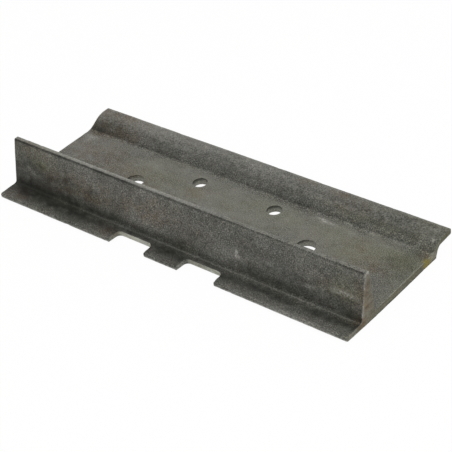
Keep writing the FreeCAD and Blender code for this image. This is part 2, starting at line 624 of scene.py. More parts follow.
@dataclass
class TrackShoe:
    """The whole shoe as one closed skin over its section, notches and holes."""

    holes: list[BoltHole]
    section: RolledSection = field(default_factory=RolledSection)
    notches: LinkNotches = field(default_factory=LinkNotches)
    rim: RimProfile = field(default_factory=RimProfile)
    cell: float = 1.8 * MM
    fine_cell: float = 0.5 * MM
    growth: float = 0.35
    turn_length: float = 6.0 * MM
    end_round: float = 0.35 * MM
    end_steps: int = 4
    end_wear: float = 0.6
    lip_corner_radius: float = 1.4 * MM
    nose_blend: float = 3.5 * MM
    mouth_share: float = 0.9
    shear_start: float = 0.2
    side_shear: float = 0.40
    nose_wear: float = 0.8
    nose_wear_start: float = 0.3
    lip_back_rows: int = 8
    grouser_rows: int = 32
    crest_rows: int = 12
    foot_rows: int = 4
    ramp_rows: int = 26
    seam_offset: float = 1.3 * MM
    flat_start: float = 4.5 * MM
    flat_margin: float = 6.0 * MM

    def __post_init__(self) -> None:
        """Lay out the columns along the shoe and the rows round its section."""
        self.upper, self.lower = self.section.upper(), self.section.lower()
        low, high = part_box("track_shoe")
        self.end_x = high[0]
        ends = [low[0] + self.end_round, high[0] - self.end_round]
        walls = self.notches.walls()
        stops = [ends[0], *walls, ends[1]]
        self.x = graded(stops, self.cell, self.fine_cell, self.growth, stops)
        self.wall_columns = [int(np.abs(self.x - wall).argmin()) for wall in walls]
        self._lay_rows()

    def _lay_rows(self) -> None:
        """Set the length of each row on both faces, so that rows match wherever cuts pass."""
        section = self.section
        floor_y = section.tip_y + self.notches.depth
        notch_y = graded([section.tip_y, floor_y], self.cell, self.fine_cell, self.growth,
                         [section.tip_y, floor_y])
        self.notch_rows = len(notch_y) - 1
        corners = [(section.near_foot_y, section.lip_top_z),
                   (section.crest_near_y, section.crest_z),
                   (section.crest_far_y, section.crest_z),
                   (section.far_foot_y, section.plate_thickness)]
        near_foot, crest_near, crest_far, far_foot = (self._nearest(place) for place in corners)
        flat_low = section.far_foot_y + self.flat_start
        flat_high = section.ramp_foot_y - self.flat_margin
        flat_rows = round((flat_high - flat_low) / self.cell)
        flat_y = np.linspace(flat_low, flat_high, flat_rows + 1)
        tip_y = section.far_y - section.overlap_tip_radius

        def laid(face: Profile, middle: list[tuple[float, int]]) -> np.ndarray:
            """Rows of one face: lip, the stretch between the feet, plate and ramp."""
            runs = [face.length_at(notch_y)]
            reach = [*middle, (face.length_at(flat_low), self.foot_rows)]
            start = runs[0][-1]
            for end, count in reach:
                runs.append(face.stations(start, end, count, self.turn_length)[1:])
                start = end
            runs.append(face.length_at(flat_y)[1:])
            runs.append(face.stations(runs[-1][-1], face.length_at(tip_y), self.ramp_rows,
                                      self.turn_length)[1:])
            return np.concatenate(runs)

        feet = [float(self.upper.at(length)[0]) for length in (near_foot, far_foot)]
        self.upper_rows = laid(self.upper, [
            (near_foot, self.lip_back_rows), (crest_near, self.grouser_rows),
            (crest_far, self.crest_rows), (far_foot, self.grouser_rows)])
        self.lower_rows = laid(self.lower, [
            (self.lower.length_at(feet[0]), self.lip_back_rows),
            (self.lower.length_at(feet[1]), self.crest_rows)])
        self.foot_row = self.notch_rows + self.lip_back_rows
        self.upper_far_row = self.foot_row + 2 * self.grouser_rows + self.crest_rows
        self.lower_far_row = self.foot_row + self.crest_rows
        self.shift = self.upper_far_row - self.lower_far_row
        self.seam = self.upper.at(near_foot - self.seam_offset)

    def _nearest(self, place: tuple[float, float]) -> float:
        """Length along the upper face at its nearest point to a corner of the section."""
        return self.upper.length[np.hypot(*(self.upper.points - place).T).argmin()]

    def _nose_path(self) -> tuple[np.ndarray, np.ndarray, Path]:
        """Rows and columns of the leading lip's edge, in and out of the notches, and its path."""
        rows, columns, corners, radii = [np.zeros(1, int)], [np.zeros(1, int)], [], []
        depth = self.notch_rows
        at, count = 0, 1
        for left, right in zip(self.wall_columns[::2], self.wall_columns[1::2]):
            legs = [(np.zeros(left - at, int), np.arange(at + 1, left + 1)),
                    (np.arange(1, depth + 1), np.full(depth, left)),
                    (np.full(right - left, depth), np.arange(left + 1, right + 1)),
                    (np.arange(depth - 1, -1, -1), np.full(depth, right))]
            for row, column in legs:
                rows.append(row)
                columns.append(column)
                count += len(row)
                corners.append(count - 1)
            left_mouth, right_mouth = self.notches.mouths()[:2]
            radii += [left_mouth, self.notches.corner_radius, self.notches.corner_radius,
                      right_mouth]
            at = right
        last = len(self.x) - 1
        rows.append(np.zeros(last - at, int))
        columns.append(np.arange(at + 1, last + 1))
        row, column = np.concatenate(rows), np.concatenate(columns)
        y = self.upper.at(self.upper_rows[row])[0]
        return row, column, Path(np.stack([self.x[column], y], 1), corners, radii)

    def _nose_rim(self) -> NoseRim:
        """The rim of the leading edge.

        At a notch's mouth the nose's rounds shrink to the mouth's own radius, then fade to the
        cut's small rim over nose_blend inside the notch. The outline turns by a small quarter
        circle at both ends of the shoe.
        """
        row, column, path = self._nose_path()
        edge, outward = path.walked()
        apart = np.abs(edge[:, :1] - np.array(self.notches.walls()))
        mouth = np.array(self.notches.mouths())[apart.argmin(axis=1)]
        beside = np.maximum(apart.min(axis=1) - mouth, 0)
        inside = np.maximum(edge[:, 1] - self.section.tip_y - mouth, 0)
        cut = self.notches.rim_radius
        widest = cut + (self.mouth_share * mouth - cut) * smooth(1 - inside / self.nose_blend)
        widest = np.where(row == 0, self.mouth_share * mouth + beside, widest)
        upper = np.minimum(self.section.lip_nose_radius, widest)
        lower = np.minimum(self.section.lip_heel_radius, widest)
        from_end = np.clip(self.lip_corner_radius - (self.end_x - np.abs(edge[:, 0])), 0, None)
        bow = np.sqrt(np.clip(self.lip_corner_radius ** 2 - from_end ** 2, 0, None))
        edge[:, 1] += np.where(row == 0, self.lip_corner_radius - bow, 0.0)
        return NoseRim(row, column, edge, outward, upper, lower)

    def _sheet(self, face: Profile, lengths: np.ndarray, still: slice,
               pinned: list[tuple[np.ndarray, np.ndarray, np.ndarray]]) -> np.ndarray:
        """One face as a grid whose cells give way smoothly to the cuts.

        Args:
            face: The face's curve.
            lengths: Length of each row along it.
            still: Rows that don't move.
            pinned: Rows, columns and plan places of the points on a cut's edge.

        Returns:
            Grid of shape (rows, columns, 3).
        """
        along, across = np.meshgrid(lengths, self.x, indexing="ij")
        held_x, held_y = np.zeros(along.shape, bool), np.zeros(along.shape, bool)
        held_x[:, [0, -1]] = True
        held_x[[0, -1]] = held_y[-1] = True
        held_x[still] = held_y[still] = True
        move_x, move_y = np.zeros(along.shape), np.zeros(along.shape)
        for row, column, place in pinned:
            move_x[row, column] = place[:, 0] - across[row, column]
            move_y[row, column] = face.length_at(place[:, 1]) - along[row, column]
            held_x[row, column] = held_y[row, column] = True
        across = across + relaxed(move_x, held_x)
        y, z = face.at(along + relaxed(move_y, held_y))
        return np.stack([across, y, z], -1)

    def _bore_rim(self, hole: BoltHole) -> BoreRim:
        """The rim of one hole.

        Each point on the edge of the block of cells goes to the circle along its own radius.
        """
        y = self.upper.at(self.upper_rows)[0]
        left, right, low, high = hole.block(self.x, y)
        wide, tall = right - left, high - low
        column = np.concatenate([np.arange(left, right), np.full(tall, right),
                                 np.arange(right, left, -1), np.full(tall + 1, left)])
        row = np.concatenate([np.full(wide, low), np.arange(low, high),
                              np.full(wide, high), np.arange(high, low - 1, -1)])
        reach = np.stack([self.x[column] - hole.x, y[row] - hole.y], 1)
        reach /= np.hypot(*reach.T)[:, None]
        ring = hole.radius * reach
        return BoreRim(hole, row, column, np.array([hole.x, hole.y]) + ring, -reach)

    def _faces(self, nose: NoseRim, bores: list[BoreRim]) -> tuple[np.ndarray, np.ndarray]:
        """The upper and the lower face as grids, drawn to the edges of every cut."""
        upper_pins = [(nose.row, nose.column, nose.edge - nose.outward * nose.upper[:, None])]
        lower_pins = [(nose.row, nose.column, nose.edge - nose.outward * nose.lower[:, None])]
        for hole, row, column, ring, inward in bores:
            upper_pins.append((row, column, ring - inward * hole.rim_radius))
            wide = hole.rim_radius + hole.break_out
            lower_pins.append((row - self.shift, column, ring - inward * wide))
        foot = self.foot_row
        return (self._sheet(self.upper, self.upper_rows, slice(foot, self.upper_far_row + 1),
                            upper_pins),
                self._sheet(self.lower, self.lower_rows, slice(foot, self.lower_far_row + 1),
                            lower_pins))

    def _kept(self, rows: int, shift: int, bores: list[BoreRim]) -> np.ndarray:
        """Which quads of one face lie outside the notches and holes.

        Args:
            rows: Number of rows of points on the face.
            shift: How many rows fewer than the upper face it has before the plate.
            bores: Rims of the holes.

        Returns:
            True for each quad that stays, shape (rows - 1, columns - 1).
        """
        kept = np.ones((rows - 1, len(self.x) - 1), bool)
        for left, right in zip(self.wall_columns[::2], self.wall_columns[1::2]):
            kept[:self.notch_rows, left:right] = False
        for bore in bores:
            kept[bore.row.min() - shift:bore.row.max() - shift,
                 bore.column.min():bore.column.max()] = False
        return kept

    def _add_nose(self, shell: Shell, nose: NoseRim, top: np.ndarray,
                  bottom: np.ndarray) -> np.ndarray:
        """Add the leading rim, worn below on the nose and bright where the notches are sheared.

        Args:
            shell: Shell that takes the grid.
            nose: The rim's path.
            top: Height of the upper face along it.
            bottom: Height of the lower face along it.

        Returns:
            Grid of the rim.
        """
        grid = self.rim.carried(nose.edge, nose.outward, nose.upper, nose.lower, top, bottom)
        cut = self.notches.rim_radius
        walls = np.interp(nose.upper, [cut, 2 * cut], [1, 0])
        facing = np.clip(-nose.outward[:, 1], 0, 1) ** 2
        facing = np.maximum(facing, self.side_shear * np.clip(nose.outward[:, 0], 0, 1))
        depth = np.linspace(0, 1, self.rim.steps + 1)
        underside = smooth((depth - self.nose_wear_start) / self.nose_wear_start)
        torn = smooth((depth - self.shear_start) / self.shear_start) * self.rim.openness()
        shell.add(grid, girth=self.upper_rows[nose.row][:, None],
                  sheared_face=(walls * facing)[:, None] * torn,
                  edge_wear=self.nose_wear * (1 - walls)[:, None] * underside)
        return grid

    def _add_bore(self, shell: Shell, bore: BoreRim, top: np.ndarray,
                  bottom: np.ndarray) -> None:
        """Add one hole's wall: painted shade above, where it lies in shadow, and lighter steel
        below.

        Args:
            shell: Shell that takes the grid.
            bore: The hole and its rim.
            top: Height of the upper face round it.
            bottom: Height of the lower face round it.
        """
        hole, inward = bore.hole, bore.inward[:, :1]
        radius = np.full(len(bore.ring), hole.rim_radius)
        wall = self.rim.carried(bore.ring, bore.inward, radius, radius, top, bottom,
                                hole.break_out)
        depth = np.linspace(0, 1, self.rim.steps + 1)
        # Painted shade: dark in the upper part, deeper at the hole's left and thinner at its
        # right, where more light falls on the wall.
        share = hole.dark_share + hole.dark_slant * inward
        dark = smooth((share - depth) * hole.dark_fade + 0.5) * self.rim.openness()
        thinned = 1 + hole.dark_slant * np.minimum(inward, 0)
        shell.add(wall, girth=self.upper_rows[bore.row][:, None],
                  bore=hole.bore_scale * dark * thinned,
                  sheared_face=hole.brightness * (1 - dark) * self.rim.openness())

    def _add_tip(self, shell: Shell, top: np.ndarray, bottom: np.ndarray) -> np.ndarray:
        """Add the overlap lip's rounded tip between the two faces' last rows."""
        edge = np.stack([self.x, np.full(len(self.x), self.section.far_y)], 1)
        radius = np.full(len(self.x), self.section.overlap_tip_radius)
        grid = self.rim.carried(edge, np.array([[0.0, 1.0]]), radius, radius, top, bottom)
        shell.add(grid, girth=self.upper_rows[-1])
        return grid

    def skin(self) -> Shell:
        """Gather the two faces, the rims and the ends into one shell."""
        shell = Shell()
        rim = self._nose_rim()
        bores = [self._bore_rim(hole) for hole in self.holes]
        upper, lower = self._faces(rim, bores)
        shell.add(upper, self._kept(len(upper), 0, bores), girth=self.upper_rows[:, None])
        shell.add(lower, self._kept(len(lower), self.shift, bores),
                  girth=-self.lower_rows[:, None])
        nose = self._add_nose(shell, rim, upper[rim.row, rim.column, 2],
                              lower[rim.row, rim.column, 2])
        for bore in bores:
            self._add_bore(shell, bore, upper[bore.row, bore.column, 2],
                           lower[bore.row - self.shift, bore.column, 2])
        tip = self._add_tip(shell, upper[-1, :, 2], lower[-1, :, 2])
        for side, end in ((-1, 0), (1, -1)):
            self._close_end(shell, side, upper[:, end], lower[:, end], nose[end], tip[end])
        return shell

    def build(self, relief: "RolledRelief", history: "SurfaceHistory",
              finish: bpy.types.Material) -> bpy.types.Object:
        """Make the shoe's piece, which stands for the CAD node.

        Args:
            relief: Unevenness pressed into the skin.
            history: Zones that the finish reads.
            finish: Material of the whole shoe.

        Returns:
            The piece, at the origin and unturned.
        """
        mesh = self.skin().mesh("track_shoe_skin")
        relief.press(mesh, self.seam)
        history.record(mesh, relief.seam_line(read_points(mesh), self.seam, history.faint_seam_highlight))
        mesh.materials.append(finish)
        piece = bpy.data.objects.new("track_shoe_skin", mesh)
        bpy.context.scene.collection.objects.link(piece)
        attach(piece, "root")
        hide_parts("track_shoe")
        return piece

    def _close_end(self, shell: Shell, side: int, upper: np.ndarray, lower: np.ndarray,
                   nose: np.ndarray, tip: np.ndarray) -> None:
        """Round one end's edge and close it with four patches across the section.

        Args:
            shell: Shell that takes the grids.
            side: -1 for the left end, 1 for the right end.
            upper: End points of the upper face.
            lower: End points of the lower face.
            nose: End points of the leading rim, from the upper face down.
            tip: End points of the overlap lip's rim, from the upper face down.
        """
        parts = [upper[:-1], tip[:-1], lower[:0:-1], nose[:0:-1]]
        loop = np.concatenate(parts)
        run = np.roll(loop, -1, axis=0)[:, 1:] - np.roll(loop, 1, axis=0)[:, 1:]
        inward = np.stack([run[:, 1], -run[:, 0]], 1) / np.hypot(*run.T)[:, None]
        turn = np.linspace(0, math.pi / 2, self.end_steps + 1)
        rings = np.repeat(loop[None], len(turn), axis=0)
        rings[..., 0] = side * (self.end_x - self.end_round * (1 - np.sin(turn)))[:, None]
        rings[..., 1:] += self.end_round * (1 - np.cos(turn))[:, None, None] * inward
        girth = np.concatenate([self.upper_rows[:-1], np.full(len(tip) - 1, self.upper_rows[-1]),
                                -self.lower_rows[:0:-1], np.zeros(len(nose) - 1)])
        rubbed = self.end_wear * np.sin(2 * turn)[:, None] * (np.append(girth, girth[0]) > 0)
        shell.add(np.concatenate([rings, rings[:, :1]], axis=1), girth=np.append(girth, girth[0]),
                  sawn_end=smooth(turn / turn[-1])[:, None], edge_wear=rubbed)
        last = rings[-1]
        starts = np.cumsum([len(part) for part in parts])
        upper, tip = last[:starts[0] + 1], last[starts[0]:starts[1] + 1]
        lower = last[starts[1]:starts[2] + 1][::-1]
        nose = np.concatenate([last[starts[2]:], last[:1]])[::-1]
        foot, up_far, low_far = self.foot_row, self.upper_far_row, self.lower_far_row
        crest = foot + self.grouser_rows
        near_line = np.linspace(upper[foot], lower[foot], self.rim.steps + 1)
        far_line = np.linspace(upper[up_far], lower[low_far], self.rim.steps + 1)
        foot_line = np.linspace(upper[foot], upper[up_far], self.crest_rows + 1)
        crest_end = crest + self.crest_rows
        for patch in (coons(upper[:foot + 1], lower[:foot + 1], nose, near_line),
                      coons(foot_line, lower[foot:low_far + 1], near_line, far_line),
                      coons(upper[foot:crest + 1], upper[up_far:crest_end - 1:-1],
                            foot_line, upper[crest:crest_end + 1]),
                      coons(upper[up_far:], lower[low_far:], far_line, tip)):
            shell.add(patch, sawn_end=1.0)


def hollows(points: np.ndarray, centres: np.ndarray, reach: np.ndarray,
            depth: np.ndarray) -> np.ndarray:
    """Depth of many small round hollows: the deepest bell curve at each point."""
    total = np.zeros(len(points))
    for centre, radius, deep in zip(centres, reach, depth):
        near = ((points - centre) ** 2).sum(axis=1) / radius ** 2
        total = np.maximum(total, deep * np.exp(-near))
    return total


@dataclass(frozen=True)
class RolledRelief:
    """The unevenness that rolling, scale and handling leave, all of it within the sheet's size.

    pit_reach, nick_reach, seam_faint_x and seam_clear_run are in millimetres.
    """

    pit_seed: int = 41
    wave_seed: int = 3
    ripple_seed: int = 4
    wave_depth: float = 0.10 * MM
    wave_lengths: tuple[float, float] = (14 * MM, 60 * MM)
    ripple_depth: float = 0.045 * MM
    ripple_lengths: tuple[float, float] = (4 * MM, 11 * MM)
    pit_depth: float = 0.16 * MM
    pit_count: int = 260
    pit_reach: tuple[float, float] = (0.8, 2.6)
    nick_depth: float = 0.35 * MM
    nick_count: int = 150
    nick_reach: tuple[float, float] = (0.8, 3.2)
    nicked_edge: float = 0.5
    seam_height: float = 0.30 * MM
    seam_width: float = 0.55 * MM
    seam_spread: float = 1.10 * MM
    seam_faint_x: float = -170.0
    seam_clear_run: float = 200.0
    faint_ridge: float = 0.15

    def seam_line(self, points: np.ndarray, seam: tuple[float, float],
                  faint: float) -> np.ndarray:
        """Bell curve across the seam: narrow and clear at the right, broad and faint at the left.

        Args:
            points: Places on the shoe, shape (n, 3).
            seam: Y and Z of the seam.
            faint: Height of the curve at the left end, against 1 at the right.

        Returns:
            One value a place.
        """
        along = smooth((points[:, 0] / MM - self.seam_faint_x) / self.seam_clear_run)
        width = self.seam_spread + (self.seam_width - self.seam_spread) * along
        gap = np.hypot(points[:, 1] - seam[0], points[:, 2] - seam[1])
        return (faint + (1 - faint) * along) * np.exp(-(gap / width) ** 2)

    def press(self, mesh: Mesh, seam: tuple[float, float]) -> None:
        """Move each point along its normal by its unevenness.

        Long waves, ripples, pits and nicked edges go in, and the rolls' seam stands out.

        Args:
            mesh: Closed mesh of the shoe.
            seam: Y and Z of the seam.
        """
        points, normals = read_points(mesh), read_normals(mesh)
        draw = np.random.default_rng(self.pit_seed)
        edge = sharpness(mesh)
        wave = wave_field(points, *self.wave_lengths, self.wave_seed, (3, 1, 1))
        ripple = wave_field(points, *self.ripple_lengths, self.ripple_seed, (1.6, 1, 1))
        inward = self.wave_depth * wave / 2
        inward += self.ripple_depth * ripple / 2
        spots = draw.choice(len(points), self.pit_count)
        inward += hollows(points, points[spots], draw.uniform(*self.pit_reach, len(spots)) * MM,
                          self.pit_depth * draw.uniform(0.3, 1, len(spots)))
        corners = np.flatnonzero(edge > self.nicked_edge)
        spots = corners[draw.choice(len(corners), self.nick_count)]
        inward += hollows(points, points[spots], draw.uniform(*self.nick_reach, len(spots)) * MM,
                          self.nick_depth * draw.uniform(0.2, 1, len(spots)) ** 2)
        ridge = self.seam_height * self.seam_line(points, seam, self.faint_ridge)
        moved = points - normals * (inward - ridge)[:, None]
        low, high = (np.array(corner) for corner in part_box("track_shoe"))
        mesh.vertices.foreach_set("co", np.clip(moved, low, high).ravel())
        mesh.update()


def sharpness(mesh: Mesh, rounds: int = 2, gain: float = 3.0, fade: float = 0.6,
              lift: float = 1.4, least: float = 0.1 * MM) -> np.ndarray:
    """How much each point stands out on a convex edge, from 0 to 1.

    A point's height over the mean of its neighbours, as a share of their distance, then
    spread over the next points by the same mean.

    Args:
        mesh: Closed mesh.
        rounds: How many times the value spreads.
        gain: Factor on the height's share.
        fade: How much of its own value a point keeps each time.
        lift: Factor on the spread value.
        least: Smallest distance that counts.

    Returns:
        One value a point.
    """
    points, normals = read_points(mesh), read_normals(mesh)
    middle = neighbour_mean(mesh, points)
    size = np.sqrt(neighbour_mean(mesh, ((points - middle) ** 2).sum(axis=1)[:, None]))[:, 0]
    height = ((points - middle) * normals).sum(axis=1) / np.maximum(size, least)
    value = np.clip(height * gain, 0, 1)[:, None]
    for _ in range(rounds):
        value = np.maximum(value * fade, neighbour_mean(mesh, value))
    return np.clip(value[:, 0] * lift, 0, 1)


# Patches on the surface, by zone: middle and reach along each axis in millimetres, and strength.
PATCHES: dict[Zone, tuple[tuple[Triple, Triple, float], ...]] = {
    Zone.SCALE_AND_SHADE: (
        ((60, -67, 9), (190, 8, 4), -0.12), ((140, -66, 9), (90, 5, 6), -0.17),
        ((46, -61, 16), (44, 6, 7), -0.22), ((-42, -60, 18), (40, 6, 8), -0.16),
        ((-40, -57, 28), (26, 5, 7), -0.08), ((-190, -60, 24), (40, 6, 14), 0.10),
        ((-60, -56, 45), (60, 6, 22), -0.13), ((-212, -56, 42), (18, 6, 18), 0.12),
        ((-150, -62, 17), (34, 6, 5), 0.11), ((-150, -57, 26), (34, 6, 6), 0.03),
        ((40, -56, 48), (20, 6, 10), 0.07), ((-200, 30, 8), (40, 30, 4), 0.16),
        ((-150, 15, 8), (30, 22, 4), 0.15), ((212, 10, 8), (28, 60, 5), 0.25),
        ((50, 52, 9), (40, 4, 3), 0.16), ((150, 51, 8), (30, 4, 3), 0.08),
        ((130, 73, 18), (44, 6, 4), 0.14), ((10, -59, 18), (22, 5, 7), 0.07),
        ((120, 78, 19), (75, 10, 5), 0.15), ((205, 80, 19), (40, 10, 5), 0.26),
        # ((214, 59, 11), ...) is painted light: it lightens the ramp's foot at the right end,
        # where shade falls on it.
        ((170, 59, 11), (70, 6, 4), -0.16), ((214, 59, 11), (14, 8, 5), -0.18),
        ((213, 40, 8), (16, 12, 3), 0.16), ((-215, 66, 15), (26, 12, 7), 0.12),
        # ((225, 0, 0), ...) is painted shade: a dark line along the right end's bottom edge,
        # where shade falls under it.
        ((225, 0, 0), (3, 75, 1.5), 0.75), ((225, 80, 10), (2, 16, 5), 0.12),
        ((188, 10, 8), (13, 10, 3), 0.10), ((-130, 82, 19), (50, 7, 4), -0.08),
        ((-205, 82, 19), (24, 10, 4), 0.10), ((120, -82, 7), (110, 7, 4), -0.13),
        ((110, -48.5, 57), (120, 2.6, 1.5), 0.10), ((-100, -53, 56), (90, 1.2, 1.2), 0.12),
        ((138, -52.8, 56), (100, 1.4, 1.4), -0.27), ((95, -62, 17), (10, 6, 6), 0.12),
        ((158, 68, 16), (5, 4, 4), 0.16), ((-203, -58, 35), (11, 4, 3), 0.12),
        ((-150, -58, 31), (18, 4, 6), 0.14), ((-115, -58, 30), (7, 4, 4), 0.14),
        ((-203, -59, 26), (8, 4, 4), -0.18), ((100, -76, 8), (32, 8, 4), -0.05),
        ((0, 28, 8), (32, 13, 3), -0.09), ((-100, 36, 8), (24, 18, 3), -0.06),
        ((-130, 51, 8.5), (50, 4, 3), -0.09), ((-25, 60, 12), (100, 5, 4), -0.06),
        ((-205, 70, 17), (22, 14, 6), 0.05), ((90, 72, 18), (95, 5, 4), 0.05),
        ((50, -58, 27), (24, 5, 8), -0.06), ((115, -60, 21), (40, 4, 4), -0.04),
        ((-150, -57, 36), (24, 5, 10), -0.05), ((225, 75, 14), (2, 14, 6), 0.12),
        ((-49, 43.4, 0.9), (9, 1.6, 1.0), 0.60), ((198, 30, 8), (16, 10, 3), 0.06),
        ((225, -66, 7), (1.5, 4, 4), 0.50),
    ),
    Zone.SHEARED: (
        ((-49, 43.4, 0.9), (9, 1.6, 1.0), -0.30), ((34, -71, 4), (16, 4, 6), -0.28),
        ((45, -71, 4), (30, 4, 6), -0.12),
    ),
    Zone.WEAR: (
        ((8, -47.6, 57), (40, 3.4, 1.5), 0.50), ((165, -86.5, 5), (60, 2.0, 4), 0.30),
        ((225, -78, 4), (1.5, 7, 5), 0.30), ((225, -60.5, 23), (1.0, 3, 12), 0.55),
        ((225, -55.5, 45), (1.0, 2.5, 12), 0.35), ((225, 53, 6), (1.5, 6, 5), 0.45),
        ((100, 47.5, 8), (5, 1.6, 3), 1.5), ((112, 46, 8), (6, 1.5, 3), 0.9),
        ((104, 45, 8), (3, 2.5, 3), 0.8), ((158, 52, 9), (8, 2.0, 3), 0.5),
        ((190, 53, 9), (10, 2.5, 3), 0.4), ((-213, 43.5, 8), (9, 3, 3), 0.5),
        ((-212, 38, 8), (4, 5, 3), 0.5), ((78, -58.7, 26.5), (1.5, 4, 3.6), 1.8),
        ((81, -59.2, 24), (2.0, 4, 1.6), 0.8), ((70, -58.7, 24), (12, 4, 7), 0.25),
        ((120, -58, 29), (26, 4, 4), 0.25), ((203, -58.5, 29.5), (14, 4, 3), 0.85),
        ((164, -59.8, 22.5), (7, 4, 2), 0.45), ((218.5, 65.5, 15.5), (1.4, 1.4, 1.4), 1.2),
        ((225, -50, 56), (1.2, 9, 2.5), 0.8), ((-150, -47.6, 57), (72, 3.4, 1.5), 0.66),
        ((-50, -47.8, 57), (60, 3.6, 1.5), 0.42), ((225, 0, 8), (0.9, 60, 1.0), 0.25),
    ),
    Zone.RUST: (
        ((225, -63.5, 7), (7, 4, 6), 2.2), ((-195, -61, 12), (20, 6, 5), 0.6),
        ((-115, -59, 21), (16, 6, 5), 0.9), ((-78, -76, 7), (12, 6, 4), 1.0),
        ((219, -57, 28), (9, 9, 22), 0.6), ((-205, -53, 52), (30, 8, 12), 0.5),
        ((104, 78, 19), (14, 8, 4), 0.8), ((158, 28, 8), (22, 12, 3), 0.35),
        ((225, -54, 20), (3, 8, 20), 0.5), ((225, -58, 45), (6, 8, 10), 0.5),
        ((112, 66, 16), (8, 6, 4), 0.5), ((136, 70, 17), (12, 7, 4), 0.6),
        ((60, 80, 20), (10, 6, 4), 0.5), ((-195, 68, 16), (40, 16, 8), 0.80),
        ((-163, -58, 29), (20, 8, 6), 0.6), ((-160, -60, 19), (20, 6, 5), 1.0),
        ((-130, -58, 32), (55, 8, 14), 0.50), ((-55, -58, 32), (40, 8, 14), 0.40),
        ((-204, -75, 8), (15, 10, 5), 1.3), ((25, -58, 32), (20, 8, 10), 0.25),
        ((185, -57, 34), (24, 8, 8), 0.30), ((-190, 25, 8), (45, 22, 3), 0.40),
        ((188, 10, 8), (13, 10, 3), 0.50), ((221, 49, 8), (5, 6, 4), 1.0),
        ((-115, 10, 8), (30, 14, 3), 0.35), ((-40, 20, 8), (14, 10, 3), 0.50),
        ((-190, 58, 10), (38, 6, 4), 0.35), ((-200, 82, 19), (26, 8, 4), 0.40),
        ((120, 73, 18), (20, 5, 4), 0.70), ((108, 21, 8), (8, 12, 3), 0.15),
        ((165, 8, 8), (26, 12, 3), 0.30), ((-22, -57, 34), (24, 8, 14), 0.50),
        ((205, 22, 8), (14, 14, 3), 0.25), ((220, -67, 9), (5, 4, 5), 1.20),
        ((-212, 62, 13), (16, 12, 8), 0.50), ((-140, 12, 8), (50, 14, 3), 0.20),
        ((203, -58.5, 29), (22, 6, 6), 0.50),
    ),
    Zone.OLIVE: (
        ((-186, -58, 37), (11, 8, 6), 1.2), ((-145, -72, 8), (60, 14, 9), 0.35),
        ((-140, -60, 24), (50, 8, 8), 0.45), ((130, -68, 9), (70, 12, 6), 0.20),
        ((-105, 20, 8), (44, 22, 3), 0.45), ((-150, -8, 8), (28, 8, 3), 0.50),
        ((50, 33, 8), (34, 10, 3), 0.40), ((190, 36, 8), (36, 10, 3), 0.45),
        ((-150, -64, 9), (40, 7, 6), 0.70), ((10, -63, 12), (14, 6, 6), 0.60),
        ((198, 30, 8), (18, 12, 3), 0.45), ((-42, 18, 8), (8, 8, 3), 0.40),
        ((50, 22, 8), (150, 30, 4), 0.28), ((160, 18, 8), (24, 18, 3), 0.60),
        ((118, 38, 8), (20, 12, 3), 0.40), ((203, -58.5, 29), (22, 6, 6), 1.0),
        ((208, -56, 38), (20, 6, 18), 0.55), ((214, 25, 8), (14, 40, 4), 0.60),
        ((225, 0, 4), (4, 90, 6), 0.60), ((225, 72, 14), (4, 20, 8), 0.50),
        ((165, 68, 16), (70, 14, 8), 0.75), ((205, 80, 19), (30, 12, 6), 0.55),
        ((-205, 66, 15), (24, 12, 8), 0.60), ((-195, -54, 46), (40, 6, 18), 0.45),
        ((214, -68, 9), (14, 12, 7), 0.60),
    ),
    Zone.PAINT: (
        ((225, 44.5, 4.5), (5, 8, 5.5), 1.0),
    ),
}


def patch(points: np.ndarray, centre: Triple, reach: Triple, strength: float) -> np.ndarray:
    """Bell curve of the distance from a patch's middle, with each axis over its own reach."""
    away = (points / MM - np.array(centre)) / np.array(reach)
    return strength * np.exp(-(away ** 2).sum(axis=1))


@dataclass(frozen=True)
class SurfaceHistory:
    """Where the scale lies thicker or thinner than its band, with painted shade and light among
    its patches, where the seam's painted highlight runs, and where rust and paint sit.

    lip_edge and kept_edge are lengths round the section in millimetres.
    """

    drift: float = 0.035
    drift_lengths: tuple[float, float] = (12 * MM, 70 * MM)
    drift_seed: int = 7
    edge_wear: float = 0.45
    lip_edge: float = 3.0
    kept_edge: tuple[float, ...] = (71.5, 72.5, 75.0, 75.8)
    faint_seam_highlight: float = 0.06

    def record(self, mesh: Mesh, seam_line: np.ndarray) -> None:
        """Keep each zone's values, the seam's painted highlight among them, on the mesh for the
        finish to read.
        """
        points = read_points(mesh)
        girth = read_values(mesh, GIRTH) / MM
        lip = np.clip(girth / self.lip_edge, 0, 1)
        edges = self.edge_wear * sharpness(mesh) * np.where(girth < self.lip_edge, lip, 1.0)
        edges *= np.interp(girth, self.kept_edge, (1, 0, 0, 1))
        edges = np.maximum(edges, read_values(mesh, Zone.WEAR.value))
        drift = wave_field(points, *self.drift_lengths, self.drift_seed, (1.8, 1, 1))
        values = {Zone.SCALE_AND_SHADE: self.drift * drift,
                  Zone.SHEARED: read_values(mesh, Zone.SHEARED.value),
                  Zone.WEAR: edges, Zone.RUST: 0.0, Zone.OLIVE: 0.0, Zone.PAINT: 0.0}
        for zone, value in values.items():
            total = value + sum(patch(points, *spot) for spot in PATCHES[zone])
            write_values(mesh, zone.value, total)
        write_values(mesh, Zone.SEAM_HIGHLIGHT.value, seam_line)


# --- Finish ------------------------------------------------------------------------------


